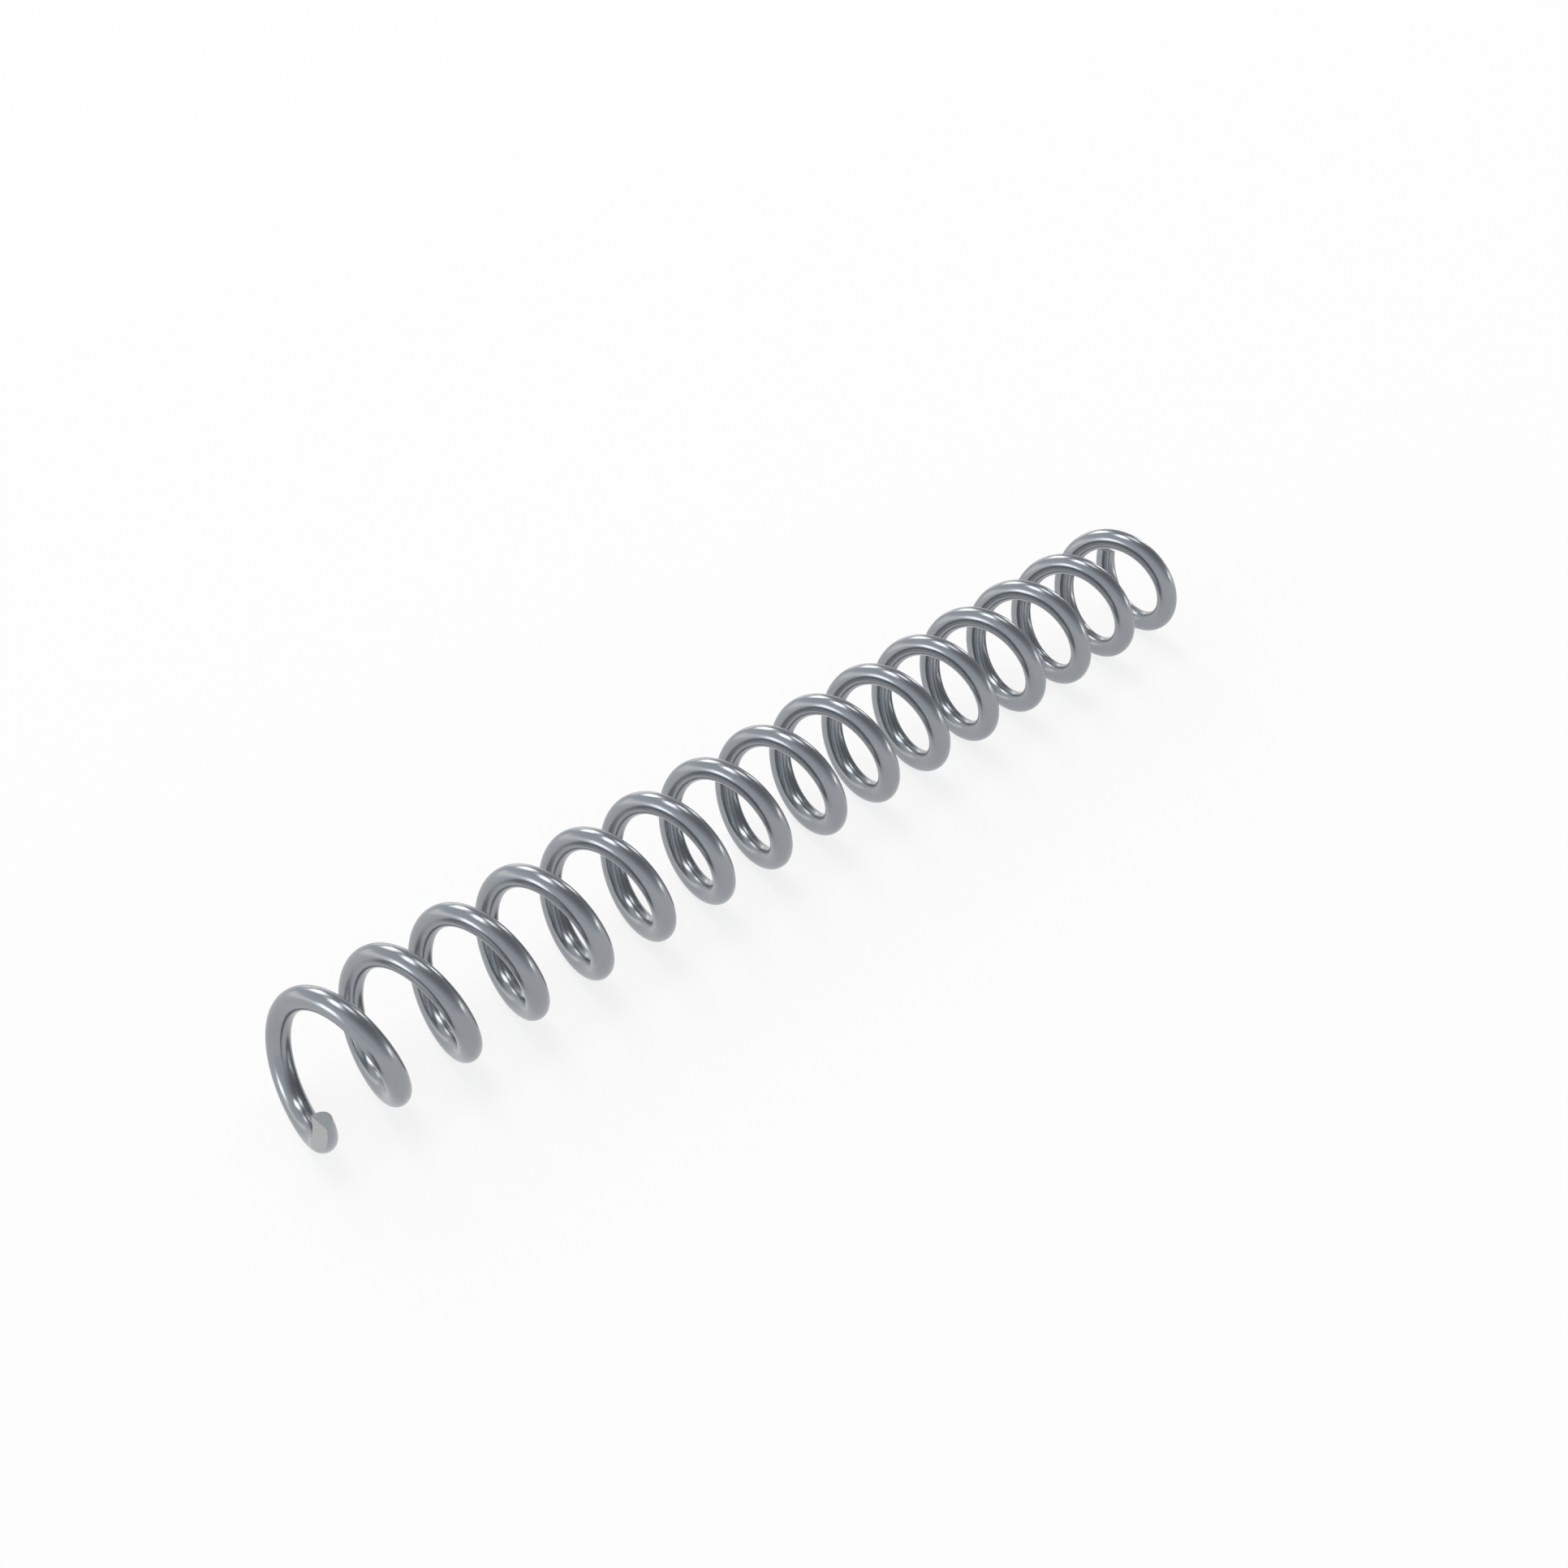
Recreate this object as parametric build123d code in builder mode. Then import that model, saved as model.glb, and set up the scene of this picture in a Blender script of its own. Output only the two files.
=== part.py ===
"""Small helical compression spring, coiled from one length of round spring steel wire.

The wire is wound right-handed at one pitch from end to end, so the ends are open: no turn lies
against the next. At each end the wire is cut square across, and the last part of a turn is then
ground flat, square to the spring's axis, so that the spring has a seat to push on.

The spring lies on its side, as it comes to rest. X runs along its axis, +Z is up, and the origin
is on the surface that it lies on, below the middle of its length.
"""

from build123d import *

import os

# Driving dimensions, in millimetres
wire_diameter = 1.6
outer_diameter = 10.0
pitch = 5.6
turns = 15.5
ground_off = 0.75  # taken off each end by grinding, out of the wire's thickness

# Worked out from them
wire_radius = wire_diameter / 2
coil_radius = (outer_diameter - wire_diameter) / 2  # from the axis to the middle of the wire
wound_length = turns * pitch  # between the middles of the two wire ends
free_length = wound_length + 2 * (wire_radius - ground_off)
bore_radius = coil_radius - wire_radius

# The coil, standing on end about Z with its middle at the origin
with BuildPart() as coil:
    with BuildLine() as wire_line:
        Helix(pitch, wound_length, coil_radius, center=(0, 0, -wound_length / 2))

    # The round wire, cut square across where it starts and where it stops
    with BuildSketch(Plane(wire_line.line @ 0, z_dir=wire_line.line % 0)):
        Circle(wire_radius)
    sweep(path=wire_line.line, is_frenet=True)

    # The seats, ground square to the axis. About half of each cut wire end is left standing
    split(bisect_by=Plane.XY.offset(-free_length / 2), keep=Keep.TOP)
    split(bisect_by=Plane.XY.offset(free_length / 2), keep=Keep.BOTTOM)

# Laid on its side. The wire starts at the -X end, level with the axis on the -Y side, and goes
# down and under from there. The odd half turn then passes below the axis, which makes that side
# the heavier one, and it is the side that a loose spring turns down.
on_its_side = Plane((0, 0, outer_diameter / 2), x_dir=(0, -1, 0), z_dir=(1, 0, 0))

with BuildPart(on_its_side) as spring:
    add(coil.part)

spring.part.label = "spring"

os.makedirs("parts", exist_ok=True)
export_step(spring.part, "parts/spring.step")

print(f"Free length {free_length:.2f} mm, bore {2 * bore_radius:.2f} mm across")
print(f"Length of wire {wire_line.edge().length:.1f} mm, volume {spring.part.volume:.1f} mm3")
for seat in spring.faces().filter_by(Axis.X):
    print(f"Ground seat of {seat.area:.2f} mm2 at {seat.center()}")
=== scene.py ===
"""A small helical compression spring in drawn steel wire, lying on a pale studio floor.

The wire is modelled as one mesh that stands for the CAD solid: a round section screwed along the
spring's axis, cut square at both ends and ground flat there.
"""

import math

import bpy
from bpy.props import FloatProperty, FloatVectorProperty, IntProperty, PointerProperty
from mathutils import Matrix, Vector


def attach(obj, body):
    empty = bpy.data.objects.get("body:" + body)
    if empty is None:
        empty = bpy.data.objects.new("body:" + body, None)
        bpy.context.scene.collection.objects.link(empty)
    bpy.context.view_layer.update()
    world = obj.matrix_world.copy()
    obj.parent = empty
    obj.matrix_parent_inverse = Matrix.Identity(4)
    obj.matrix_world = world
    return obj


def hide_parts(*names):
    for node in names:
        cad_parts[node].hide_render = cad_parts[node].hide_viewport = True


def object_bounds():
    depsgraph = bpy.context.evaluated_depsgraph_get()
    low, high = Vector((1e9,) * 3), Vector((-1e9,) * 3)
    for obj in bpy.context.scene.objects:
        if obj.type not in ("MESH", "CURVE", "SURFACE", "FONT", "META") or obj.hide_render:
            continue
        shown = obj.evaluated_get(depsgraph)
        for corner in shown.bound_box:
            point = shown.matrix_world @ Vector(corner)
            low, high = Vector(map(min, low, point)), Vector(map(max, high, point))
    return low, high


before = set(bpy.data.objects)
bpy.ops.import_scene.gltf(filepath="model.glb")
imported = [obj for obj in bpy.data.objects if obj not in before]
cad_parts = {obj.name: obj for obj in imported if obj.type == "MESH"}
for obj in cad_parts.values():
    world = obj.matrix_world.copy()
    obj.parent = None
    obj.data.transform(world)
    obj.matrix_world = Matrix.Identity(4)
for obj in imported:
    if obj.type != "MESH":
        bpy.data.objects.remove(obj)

bl_info = {
    "name": "Compression Spring",
    "version": (1, 0, 0),
    "blender": (4, 5, 0),
    "location": "3D View > Sidebar > Spring",
    "description": "Models a compression spring with ground ends, and a studio to show it in",
    "category": "Add Mesh",
}

CAD_LOW, CAD_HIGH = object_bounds()  # the spring's box, before anything is modelled
AXIS_HEIGHT = (CAD_LOW.z + CAD_HIGH.z) / 2  # of the spring's axis over the floor
MM = 0.001  # metres


# Colours and nodes

def srgb(code):
    """The linear colour of an sRGB hex code such as #8a9096."""
    channels = [int(code[i:i + 2], 16) / 255 for i in (1, 3, 5)]
    return [c / 12.92 if c <= 0.04045 else ((c + 0.055) / 1.055) ** 2.4 for c in channels] + [1.0]


def add_node(tree, kind, settings=None, inputs=None):
    """Adds a node with its settings, and sets each input to a value or links a socket to it."""
    node = tree.nodes.new(kind)
    for name, value in (settings or {}).items():
        setattr(node, name, value)
    for name, value in (inputs or {}).items():
        if isinstance(value, bpy.types.NodeSocket):
            tree.links.new(value, node.inputs[name])
        else:
            node.inputs[name].default_value = value
    return node


def new_material(name):
    """An empty node material with its output, ready for a surface to be linked."""
    material = bpy.data.materials.new(name)
    material.use_nodes = True
    tree = material.node_tree
    tree.nodes.clear()
    return material, tree


def finish_material(tree, shader):
    """Links a shader to the surface output."""
    add_node(tree, "ShaderNodeOutputMaterial", inputs={"Surface": shader.outputs[0]})


# Materials

# Lines from the die and stains along the drawn wire, scratches on the seats, grain on the cut ends.
# Real die lines, scratches and grain are some 0.03 mm across. These are coarser, so that they show
DIE_LINE_LENGTH, DIE_LINE_WIDTH = 6 * MM, 0.16 * MM
STAIN_LENGTH, STAIN_WIDTH = 4 * MM, 1 * MM
SCRATCH_LENGTH, SCRATCH_WIDTH = 1 * MM, 0.08 * MM
GRAIN_SIZE = 0.11 * MM

DIE_LINE_DEPTH, SCRATCH_DEPTH, GRAIN_DEPTH = 0.01 * MM, 0.01 * MM, 0.02 * MM
ROUGHNESS_SPREAD = 0.03  # of the drawn wire, between and in the die lines

SEAT_ROUGHNESS = 0.42
CUT_ROUGHNESS = 0.4

WHITE_SHARE = 0.8  # of the floor where it is seen, the rest being lit paper


def drawn_spring_steel(finish):
    """Music wire, drawn cold through a die and left bright: bluish grey, with soft highlights."""
    material, tree = new_material("drawn_spring_steel")
    # metres along the straightened wire, out from the coil's axis and along it
    place = add_node(tree, "ShaderNodeAttribute", {"attribute_name": "wire_place"})

    # The die leaves lines along the wire. To the eye they fray the edges of the highlights
    along_wire = add_node(tree, "ShaderNodeMapping", inputs={
        "Vector": place.outputs["Vector"],
        "Scale": (1 / DIE_LINE_LENGTH, 1 / DIE_LINE_WIDTH, 1 / DIE_LINE_WIDTH)})
    die_lines = add_node(tree, "ShaderNodeTexNoise", inputs={
        "Vector": along_wire.outputs["Vector"], "Scale": 1.0, "Detail": 3.0, "Roughness": 0.6})
    roughness = add_node(tree, "ShaderNodeMapRange", inputs={
        "Value": die_lines.outputs["Fac"], "From Min": 0.3, "From Max": 0.7,
        "To Min": finish.wire_roughness - ROUGHNESS_SPREAD,
        "To Max": finish.wire_roughness + ROUGHNESS_SPREAD})
    bump = add_node(tree, "ShaderNodeBump", inputs={
        "Height": die_lines.outputs["Fac"], "Strength": 0.2, "Distance": DIE_LINE_DEPTH})

    # Drawing soap and the heat that takes the stress out leave faint stains
    stained = add_node(tree, "ShaderNodeMapping", inputs={
        "Vector": place.outputs["Vector"],
        "Scale": (1 / STAIN_LENGTH, 1 / STAIN_WIDTH, 1 / STAIN_WIDTH)})
    stains = add_node(tree, "ShaderNodeTexNoise", inputs={
        "Vector": stained.outputs["Vector"], "Scale": 1.0, "Detail": 4.0, "Roughness": 0.55})
    colour = add_node(tree, "ShaderNodeMix", {"data_type": "RGBA"}, {
        "Factor": stains.outputs["Fac"], "A": finish.wire_dark, "B": finish.wire_light})

    steel = add_node(tree, "ShaderNodeBsdfPrincipled", inputs={
        "Base Color": colour.outputs["Result"], "Metallic": 1.0,
        "Roughness": roughness.outputs["Result"], "Normal": bump.outputs["Normal"]})
    finish_material(tree, steel)
    return material


def ground_steel(finish):
    """The seats, ground on the face of a wheel: lighter than the wire, and matt."""
    material, tree = new_material("ground_steel")
    place = add_node(tree, "ShaderNodeTexCoord")
    # The grit scratches straight across, along Y
    across = add_node(tree, "ShaderNodeMapping", inputs={
        "Vector": place.outputs["Object"],
        "Scale": (1 / SCRATCH_LENGTH, 1 / SCRATCH_LENGTH, 1 / SCRATCH_WIDTH)})
    scratches = add_node(tree, "ShaderNodeTexNoise", inputs={
        "Vector": across.outputs["Vector"], "Scale": 1.0, "Detail": 2.0, "Roughness": 0.7})
    colour = add_node(tree, "ShaderNodeMix", {"data_type": "RGBA"}, {
        "Factor": scratches.outputs["Fac"], "A": finish.seat_dark, "B": finish.seat_light})
    bump = add_node(tree, "ShaderNodeBump", inputs={
        "Height": scratches.outputs["Fac"], "Strength": 0.3, "Distance": SCRATCH_DEPTH})
    steel = add_node(tree, "ShaderNodeBsdfPrincipled", inputs={
        "Base Color": colour.outputs["Result"], "Metallic": 1.0, "Roughness": SEAT_ROUGHNESS,
        "Normal": bump.outputs["Normal"]})
    finish_material(tree, steel)
    return material


def cropped_steel(finish):
    """The wire's own ends, sheared off by the coiler's cutter: dull, with a fine torn grain."""
    material, tree = new_material("cropped_steel")
    place = add_node(tree, "ShaderNodeTexCoord")
    grain = add_node(tree, "ShaderNodeTexNoise", inputs={
        "Vector": place.outputs["Object"], "Scale": 1 / GRAIN_SIZE, "Detail": 3.0,
        "Roughness": 0.6})
    colour = add_node(tree, "ShaderNodeMix", {"data_type": "RGBA"}, {
        "Factor": grain.outputs["Fac"], "A": finish.crop_dark, "B": finish.crop_light})
    bump = add_node(tree, "ShaderNodeBump", inputs={
        "Height": grain.outputs["Fac"], "Strength": 0.35, "Distance": GRAIN_DEPTH})
    steel = add_node(tree, "ShaderNodeBsdfPrincipled", inputs={
        "Base Color": colour.outputs["Result"], "Metallic": 1.0, "Roughness": CUT_ROUGHNESS,
        "Normal": bump.outputs["Normal"]})
    finish_material(tree, steel)
    return material


def studio_paper():
    """Matt white paper for the floor. Seen, and in the steel, it is mostly pure white."""
    material, tree = new_material("studio_paper")
    paper = add_node(tree, "ShaderNodeBsdfPrincipled", inputs={
        "Base Color": srgb("#f8f8f8"), "Roughness": 0.9, "Specular IOR Level": 0.0})
    white = add_node(tree, "ShaderNodeEmission", inputs={"Strength": 1.0})
    ray = add_node(tree, "ShaderNodeLightPath")
    seen = add_node(tree, "ShaderNodeMath", {"operation": "ADD"}, {
        0: ray.outputs["Is Camera Ray"], 1: ray.outputs["Is Glossy Ray"]})
    seen = add_node(tree, "ShaderNodeMath", {"operation": "ADD"}, {
        0: seen.outputs["Value"], 1: ray.outputs["Is Transmission Ray"]})
    white_share = add_node(tree, "ShaderNodeMath", {"operation": "MULTIPLY"}, {
        0: seen.outputs["Value"], 1: WHITE_SHARE})
    floor = add_node(tree, "ShaderNodeMixShader", inputs={
        0: white_share.outputs["Value"], 1: paper.outputs["BSDF"], 2: white.outputs["Emission"]})
    finish_material(tree, floor)
    return material


# Settings

class SpringSettings(bpy.types.PropertyGroup):
    """The sizes of the coil. Its length and outside diameter come from the frame."""

    wire_diameter: FloatProperty(
        name="Wire Diameter", description="Thickness of the round wire",
        default=1.6 * MM, unit="LENGTH", subtype="DISTANCE")
    outer_diameter: FloatProperty(
        name="Outer Diameter", description="Across the outside of the coil",
        default=CAD_HIGH.y - CAD_LOW.y, unit="LENGTH", subtype="DISTANCE")
    free_length: FloatProperty(
        name="Free Length", description="Between the two ground seats",
        default=CAD_HIGH.x - CAD_LOW.x, unit="LENGTH", subtype="DISTANCE")
    pitch: FloatProperty(
        name="Pitch", description="Between the middles of the wire in two turns",
        default=5.6 * MM, unit="LENGTH", subtype="DISTANCE")
    turns: FloatProperty(
        name="Turns", description="From one end of the wire to the other",
        default=15.5, min=1.0)
    section_sides: IntProperty(
        name="Section Sides", description="Edges round the wire's section",
        default=48, min=12, max=128)
    steps_per_turn: IntProperty(
        name="Steps per Turn", description="Sections of wire in each turn of the coil",
        default=96, min=24, max=256)


class FinishSettings(bpy.types.PropertyGroup):
    """The colours and gloss of the bare steel, in its three finishes."""

    wire_dark: FloatVectorProperty(
        name="Wire, Darker", description="The drawn wire's darker patches",
        default=srgb("#8f9398"), min=0.0, max=1.0, subtype="COLOR", size=4)
    wire_light: FloatVectorProperty(
        name="Wire, Lighter", description="The drawn wire's lighter patches",
        default=srgb("#999da1"), min=0.0, max=1.0, subtype="COLOR", size=4)
    wire_roughness: FloatProperty(
        name="Wire Roughness", description="Roughness of the drawn surface",
        default=0.24, min=0.0, max=1.0, subtype="FACTOR")
    seat_dark: FloatVectorProperty(
        name="Seat, Darker", description="The seats, in the grinding scratches",
        default=srgb("#a4a5a7"), min=0.0, max=1.0, subtype="COLOR", size=4)
    seat_light: FloatVectorProperty(
        name="Seat, Lighter", description="The seats, between the grinding scratches",
        default=srgb("#b6b7b9"), min=0.0, max=1.0, subtype="COLOR", size=4)
    crop_dark: FloatVectorProperty(
        name="Cropped End, Darker", description="The wire's cut ends, in the torn grain",
        default=srgb("#72787a"), min=0.0, max=1.0, subtype="COLOR", size=4)
    crop_light: FloatVectorProperty(
        name="Cropped End, Lighter", description="The wire's cut ends, between the torn grain",
        default=srgb("#7d8284"), min=0.0, max=1.0, subtype="COLOR", size=4)


class StudioSettings(bpy.types.PropertyGroup):
    """The camera, the floor and the light of the sky."""

    floor_size: FloatProperty(
        name="Floor Size", description="Side of the square floor",
        default=20.0, unit="LENGTH", subtype="DISTANCE")
    lamp_distance: FloatProperty(
        name="Lamp Distance", description="From the spring to each soft box",
        default=2.0, unit="LENGTH", subtype="DISTANCE")
    focal_length: FloatProperty(
        name="Focal Length", description="Of the camera's lens",
        default=50.0, unit="CAMERA")
    camera_place: FloatVectorProperty(
        name="Camera Place", description="Of the camera, from the middle of the spring's axis",
        default=(-0.08925, -0.08943, 0.09483), unit="LENGTH", subtype="TRANSLATION", size=3)
    camera_azimuth: FloatProperty(
        name="Camera Azimuth", description="Which way the camera looks, turning from +X towards +Y",
        default=math.radians(44.945), unit="ROTATION", subtype="ANGLE")
    camera_elevation: FloatProperty(
        name="Camera Elevation", description="How far the camera looks up, or down where negative",
        default=math.radians(-36.83), unit="ROTATION", subtype="ANGLE")
    sky_light: FloatVectorProperty(
        name="Sky, Lighter", description="The sky behind the camera and round the horizon",
        default=srgb("#ecf0f5"), min=0.0, max=1.0, subtype="COLOR", size=4)
    sky_dark: FloatVectorProperty(
        name="Sky, Darker", description="The sky high up ahead of the camera",
        default=srgb("#999a9d"), min=0.0, max=1.0, subtype="COLOR", size=4)


# Modelling

SEAM_ANGLE = math.radians(25)  # edges sharper than this stay sharp
SQUARE_TO_AXIS = 0.999  # least X of a seat's normal
WIRE_FACE_CORNERS = 5  # most corners of a face of the wire's own side
CUT_GAP = 0.0001 * MM  # corners nearer than this to a seat count as on it


def deselect_all():
    """Nothing selected and nothing active, so that an operator acts only on the new piece."""
    bpy.ops.object.select_all(action="DESELECT")
    bpy.context.view_layer.objects.active = None


def wire_places(mesh, sizes):
    """Each vertex's place on the straightened wire: along it, out from the axis, along the axis."""
    coil_radius = (sizes.outer_diameter - sizes.wire_diameter) / 2
    start_x = -sizes.turns * sizes.pitch / 2
    per_radian = math.hypot(coil_radius, sizes.pitch / math.tau)
    places = []
    for vertex in mesh.vertices:
        x, y, z = vertex.co
        rise = z - AXIS_HEIGHT
        angle = math.atan2(-rise, -y)  # from the start of the wire, on the -Y side, down and under
        turn = round((x - start_x) / sizes.pitch - angle / math.tau)
        angle += math.tau * turn
        places += [
            angle * per_radian,
            math.hypot(y, rise) - coil_radius,
            x - start_x - sizes.pitch * angle / math.tau,
        ]
    return places


class SPRING_OT_coil(bpy.types.Operator):
    """Coils the wire, cuts its ends square and grinds the seats"""

    bl_idname = "spring.coil"
    bl_label = "Coil the Wire"
    bl_options = {"REGISTER", "UNDO"}

    def execute(self, context):
        sizes, finish = context.scene.spring_sizes, context.scene.spring_finish
        wire_radius = sizes.wire_diameter / 2
        coil_radius = sizes.outer_diameter / 2 - wire_radius
        wound_length = sizes.turns * sizes.pitch
        lead_angle = math.atan2(sizes.pitch, math.tau * coil_radius)

        # The round section, at the start of the wire and square to it
        deselect_all()
        bpy.ops.mesh.primitive_circle_add(
            vertices=sizes.section_sides, radius=wire_radius, fill_type="NOTHING",
            location=(-wound_length / 2, -coil_radius, 0), rotation=(0, -lead_angle, 0))
        coil = context.active_object
        coil.name = coil.data.name = "coiled_wire"
        bpy.ops.object.transform_apply(location=True, rotation=True, scale=True)

        # Screwed along X, then raised until it lies on the floor
        screw = coil.modifiers.new("Coil", "SCREW")
        screw.axis = "X"
        screw.angle = sizes.turns * math.tau
        screw.screw_offset = wound_length
        screw.steps = screw.render_steps = round(sizes.turns * sizes.steps_per_turn)
        screw.use_smooth_shade = True
        bpy.ops.object.modifier_apply(modifier=screw.name)
        coil.location.z = AXIS_HEIGHT
        bpy.ops.object.transform_apply(location=True, rotation=False, scale=False)

        # The square-cut ends are closed, and the seats are ground off at each end of the spring
        bpy.ops.object.mode_set(mode="EDIT")
        bpy.ops.mesh.select_all(action="SELECT")
        bpy.ops.mesh.fill_holes(sides=0)
        for end in (-1, 1):
            bpy.ops.mesh.select_all(action="SELECT")
            bpy.ops.mesh.bisect(
                plane_co=(end * sizes.free_length / 2, 0, 0), plane_no=(end, 0, 0),
                use_fill=True, clear_outer=True, threshold=CUT_GAP)
            bpy.ops.mesh.mark_sharp()  # the new seat's outline, which the cut leaves selected
        bpy.ops.mesh.select_all(action="SELECT")
        bpy.ops.mesh.normals_make_consistent(inside=False)
        bpy.ops.mesh.select_all(action="DESELECT")
        bpy.ops.object.mode_set(mode="OBJECT")
        bpy.ops.object.shade_smooth_by_angle(angle=SEAM_ANGLE)

        mesh = coil.data
        place = mesh.attributes.new("wire_place", "FLOAT_VECTOR", "POINT")
        place.data.foreach_set("vector", wire_places(mesh, sizes))

        for material in (drawn_spring_steel(finish), ground_steel(finish), cropped_steel(finish)):
            mesh.materials.append(material)
        # A seat is square to X, and a cut end is one face with many corners
        seats = cut_ends = 0
        for face in mesh.polygons:
            if abs(face.normal.x) > SQUARE_TO_AXIS:
                face.material_index = 1
                seats += 1
            elif len(face.vertices) > WIRE_FACE_CORNERS:
                face.material_index = 2
                cut_ends += 1
        if (seats, cut_ends) != (2, 2):
            raise RuntimeError(f"Made {seats} seats and {cut_ends} cut ends, but both should be 2")

        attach(coil, "root")
        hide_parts("spring")
        return {"FINISHED"}


# name, azimuth and elevation of its middle, width and height as seen from the spring, all in
# degrees, how bright its face is against white paper, and the tint of its light
SOFT_BOXES = [
    ("overhead", 108, 75, 24, 17, 4.7, "#ffffff"),
    ("back_right", 12, 61, 16, 17, 3.3, "#ffffff"),
    ("back", 74, 36, 21, 21, 4.6, "#fff9f2"),
    ("right_strip", 15, 14, 8, 20, 4.6, "#fffaf4"),
    ("back_low_strip", 59, 3, 28, 6, 2.1, "#fff5ea"),
    ("front_right_strip", -37, 4, 24, 7, 3.8, "#fff9f2"),
    ("left", 166, 13, 20, 20, 3.1, "#ffffff"),
    ("left_fill", 125, 8, 50, 16, 0.75, "#fff1e2"),
]

DARK_SKY = (-20, 55)  # azimuth and elevation of the middle of the sky's darker part
DARK_SKY_EDGES = (0.2, 0.9)  # cosines of the angles from there at which it ends and begins
NEAREST_SEEN = 1 * MM  # from the camera


def direction(azimuth, elevation):
    """The unit vector towards an azimuth, from +X towards +Y, and an elevation, in degrees."""
    a, e = math.radians(azimuth), math.radians(elevation)
    return Vector((math.cos(a) * math.cos(e), math.sin(a) * math.cos(e), math.sin(e)))


class SPRING_OT_studio(bpy.types.Operator):
    """Lays the floor and sets the soft boxes, the sky and the camera"""

    bl_idname = "spring.studio"
    bl_label = "Set Up the Studio"
    bl_options = {"REGISTER", "UNDO"}

    def execute(self, context):
        scene, studio = context.scene, context.scene.spring_studio
        middle = Vector((0, 0, AXIS_HEIGHT))

        deselect_all()
        bpy.ops.mesh.primitive_plane_add(size=studio.floor_size, location=(0, 0, CAD_LOW.z))
        floor = context.active_object
        floor.name = floor.data.name = "studio_floor"
        floor.data.materials.append(studio_paper())

        for name, azimuth, elevation, width, height, brightness, tint in SOFT_BOXES:
            lamp = bpy.data.lights.new(name, "AREA")
            lamp.shape = "RECTANGLE"
            lamp.size = 2 * studio.lamp_distance * math.tan(math.radians(width / 2))
            lamp.size_y = 2 * studio.lamp_distance * math.tan(math.radians(height / 2))
            lamp.energy = brightness * math.pi * lamp.size * lamp.size_y
            lamp.color = srgb(tint)[:3]
            box = bpy.data.objects.new(name, lamp)
            towards = direction(azimuth, elevation)
            box.location = middle + towards * studio.lamp_distance
            box.rotation_euler = towards.to_track_quat("Z", "Y").to_euler()
            box.visible_camera = False
            scene.collection.objects.link(box)

        self.paint_sky(scene, studio)

        lens = bpy.data.cameras.new("studio_camera")
        lens.lens = studio.focal_length
        camera = bpy.data.objects.new("studio_camera", lens)
        camera.location = middle + Vector(studio.camera_place)
        camera.rotation_euler = (
            math.pi / 2 + studio.camera_elevation, 0, studio.camera_azimuth - math.pi / 2)
        lens.clip_start = NEAREST_SEEN
        scene.collection.objects.link(camera)
        scene.camera = camera
        scene.view_settings.view_transform = "Standard"
        return {"FINISHED"}

    def paint_sky(self, scene, studio):
        """A soft sky: pale behind the camera and round the horizon, darker high up ahead of it."""
        world = bpy.data.worlds.new("studio_sky")
        world.use_nodes = True
        scene.world = world
        tree = world.node_tree
        tree.nodes.clear()
        place = add_node(tree, "ShaderNodeTexCoord")
        nearness = add_node(tree, "ShaderNodeVectorMath", {"operation": "DOT_PRODUCT"}, {
            0: place.outputs["Generated"], 1: direction(*DARK_SKY)})
        ramp = add_node(tree, "ShaderNodeValToRGB", inputs={"Fac": nearness.outputs["Value"]})
        stops = ramp.color_ramp.elements
        for stop, edge, colour in zip(stops, DARK_SKY_EDGES, (studio.sky_light, studio.sky_dark)):
            stop.position, stop.color = edge, colour
        sky = add_node(tree, "ShaderNodeBackground", inputs={
            "Color": ramp.outputs["Color"], "Strength": 1.0})
        add_node(tree, "ShaderNodeOutputWorld", inputs={"Surface": sky.outputs[0]})


class SPRING_PT_panel(bpy.types.Panel):
    """The spring's sizes, its finish and the studio, with the steps that make them"""

    bl_idname = "SPRING_PT_panel"
    bl_label = "Compression Spring"
    bl_space_type = "VIEW_3D"
    bl_region_type = "UI"
    bl_category = "Spring"

    def draw(self, context):
        scene, layout = context.scene, self.layout
        for group, step in (
            (scene.spring_sizes, None),
            (scene.spring_finish, "spring.coil"),
            (scene.spring_studio, "spring.studio"),
        ):
            box = layout.box()
            for name in type(group).__annotations__:
                box.prop(group, name)
            if step:
                box.operator(step)


CLASSES = (
    SpringSettings, FinishSettings, StudioSettings,
    SPRING_OT_coil, SPRING_OT_studio, SPRING_PT_panel,
)


def register():
    for cls in CLASSES:
        bpy.utils.register_class(cls)
    bpy.types.Scene.spring_sizes = PointerProperty(type=SpringSettings)
    bpy.types.Scene.spring_finish = PointerProperty(type=FinishSettings)
    bpy.types.Scene.spring_studio = PointerProperty(type=StudioSettings)


def unregister():
    del bpy.types.Scene.spring_studio
    del bpy.types.Scene.spring_finish
    del bpy.types.Scene.spring_sizes
    for cls in reversed(CLASSES):
        bpy.utils.unregister_class(cls)


def main():
    register()
    bpy.ops.spring.coil()
    bpy.ops.spring.studio()


if __name__ == "__main__":
    main()
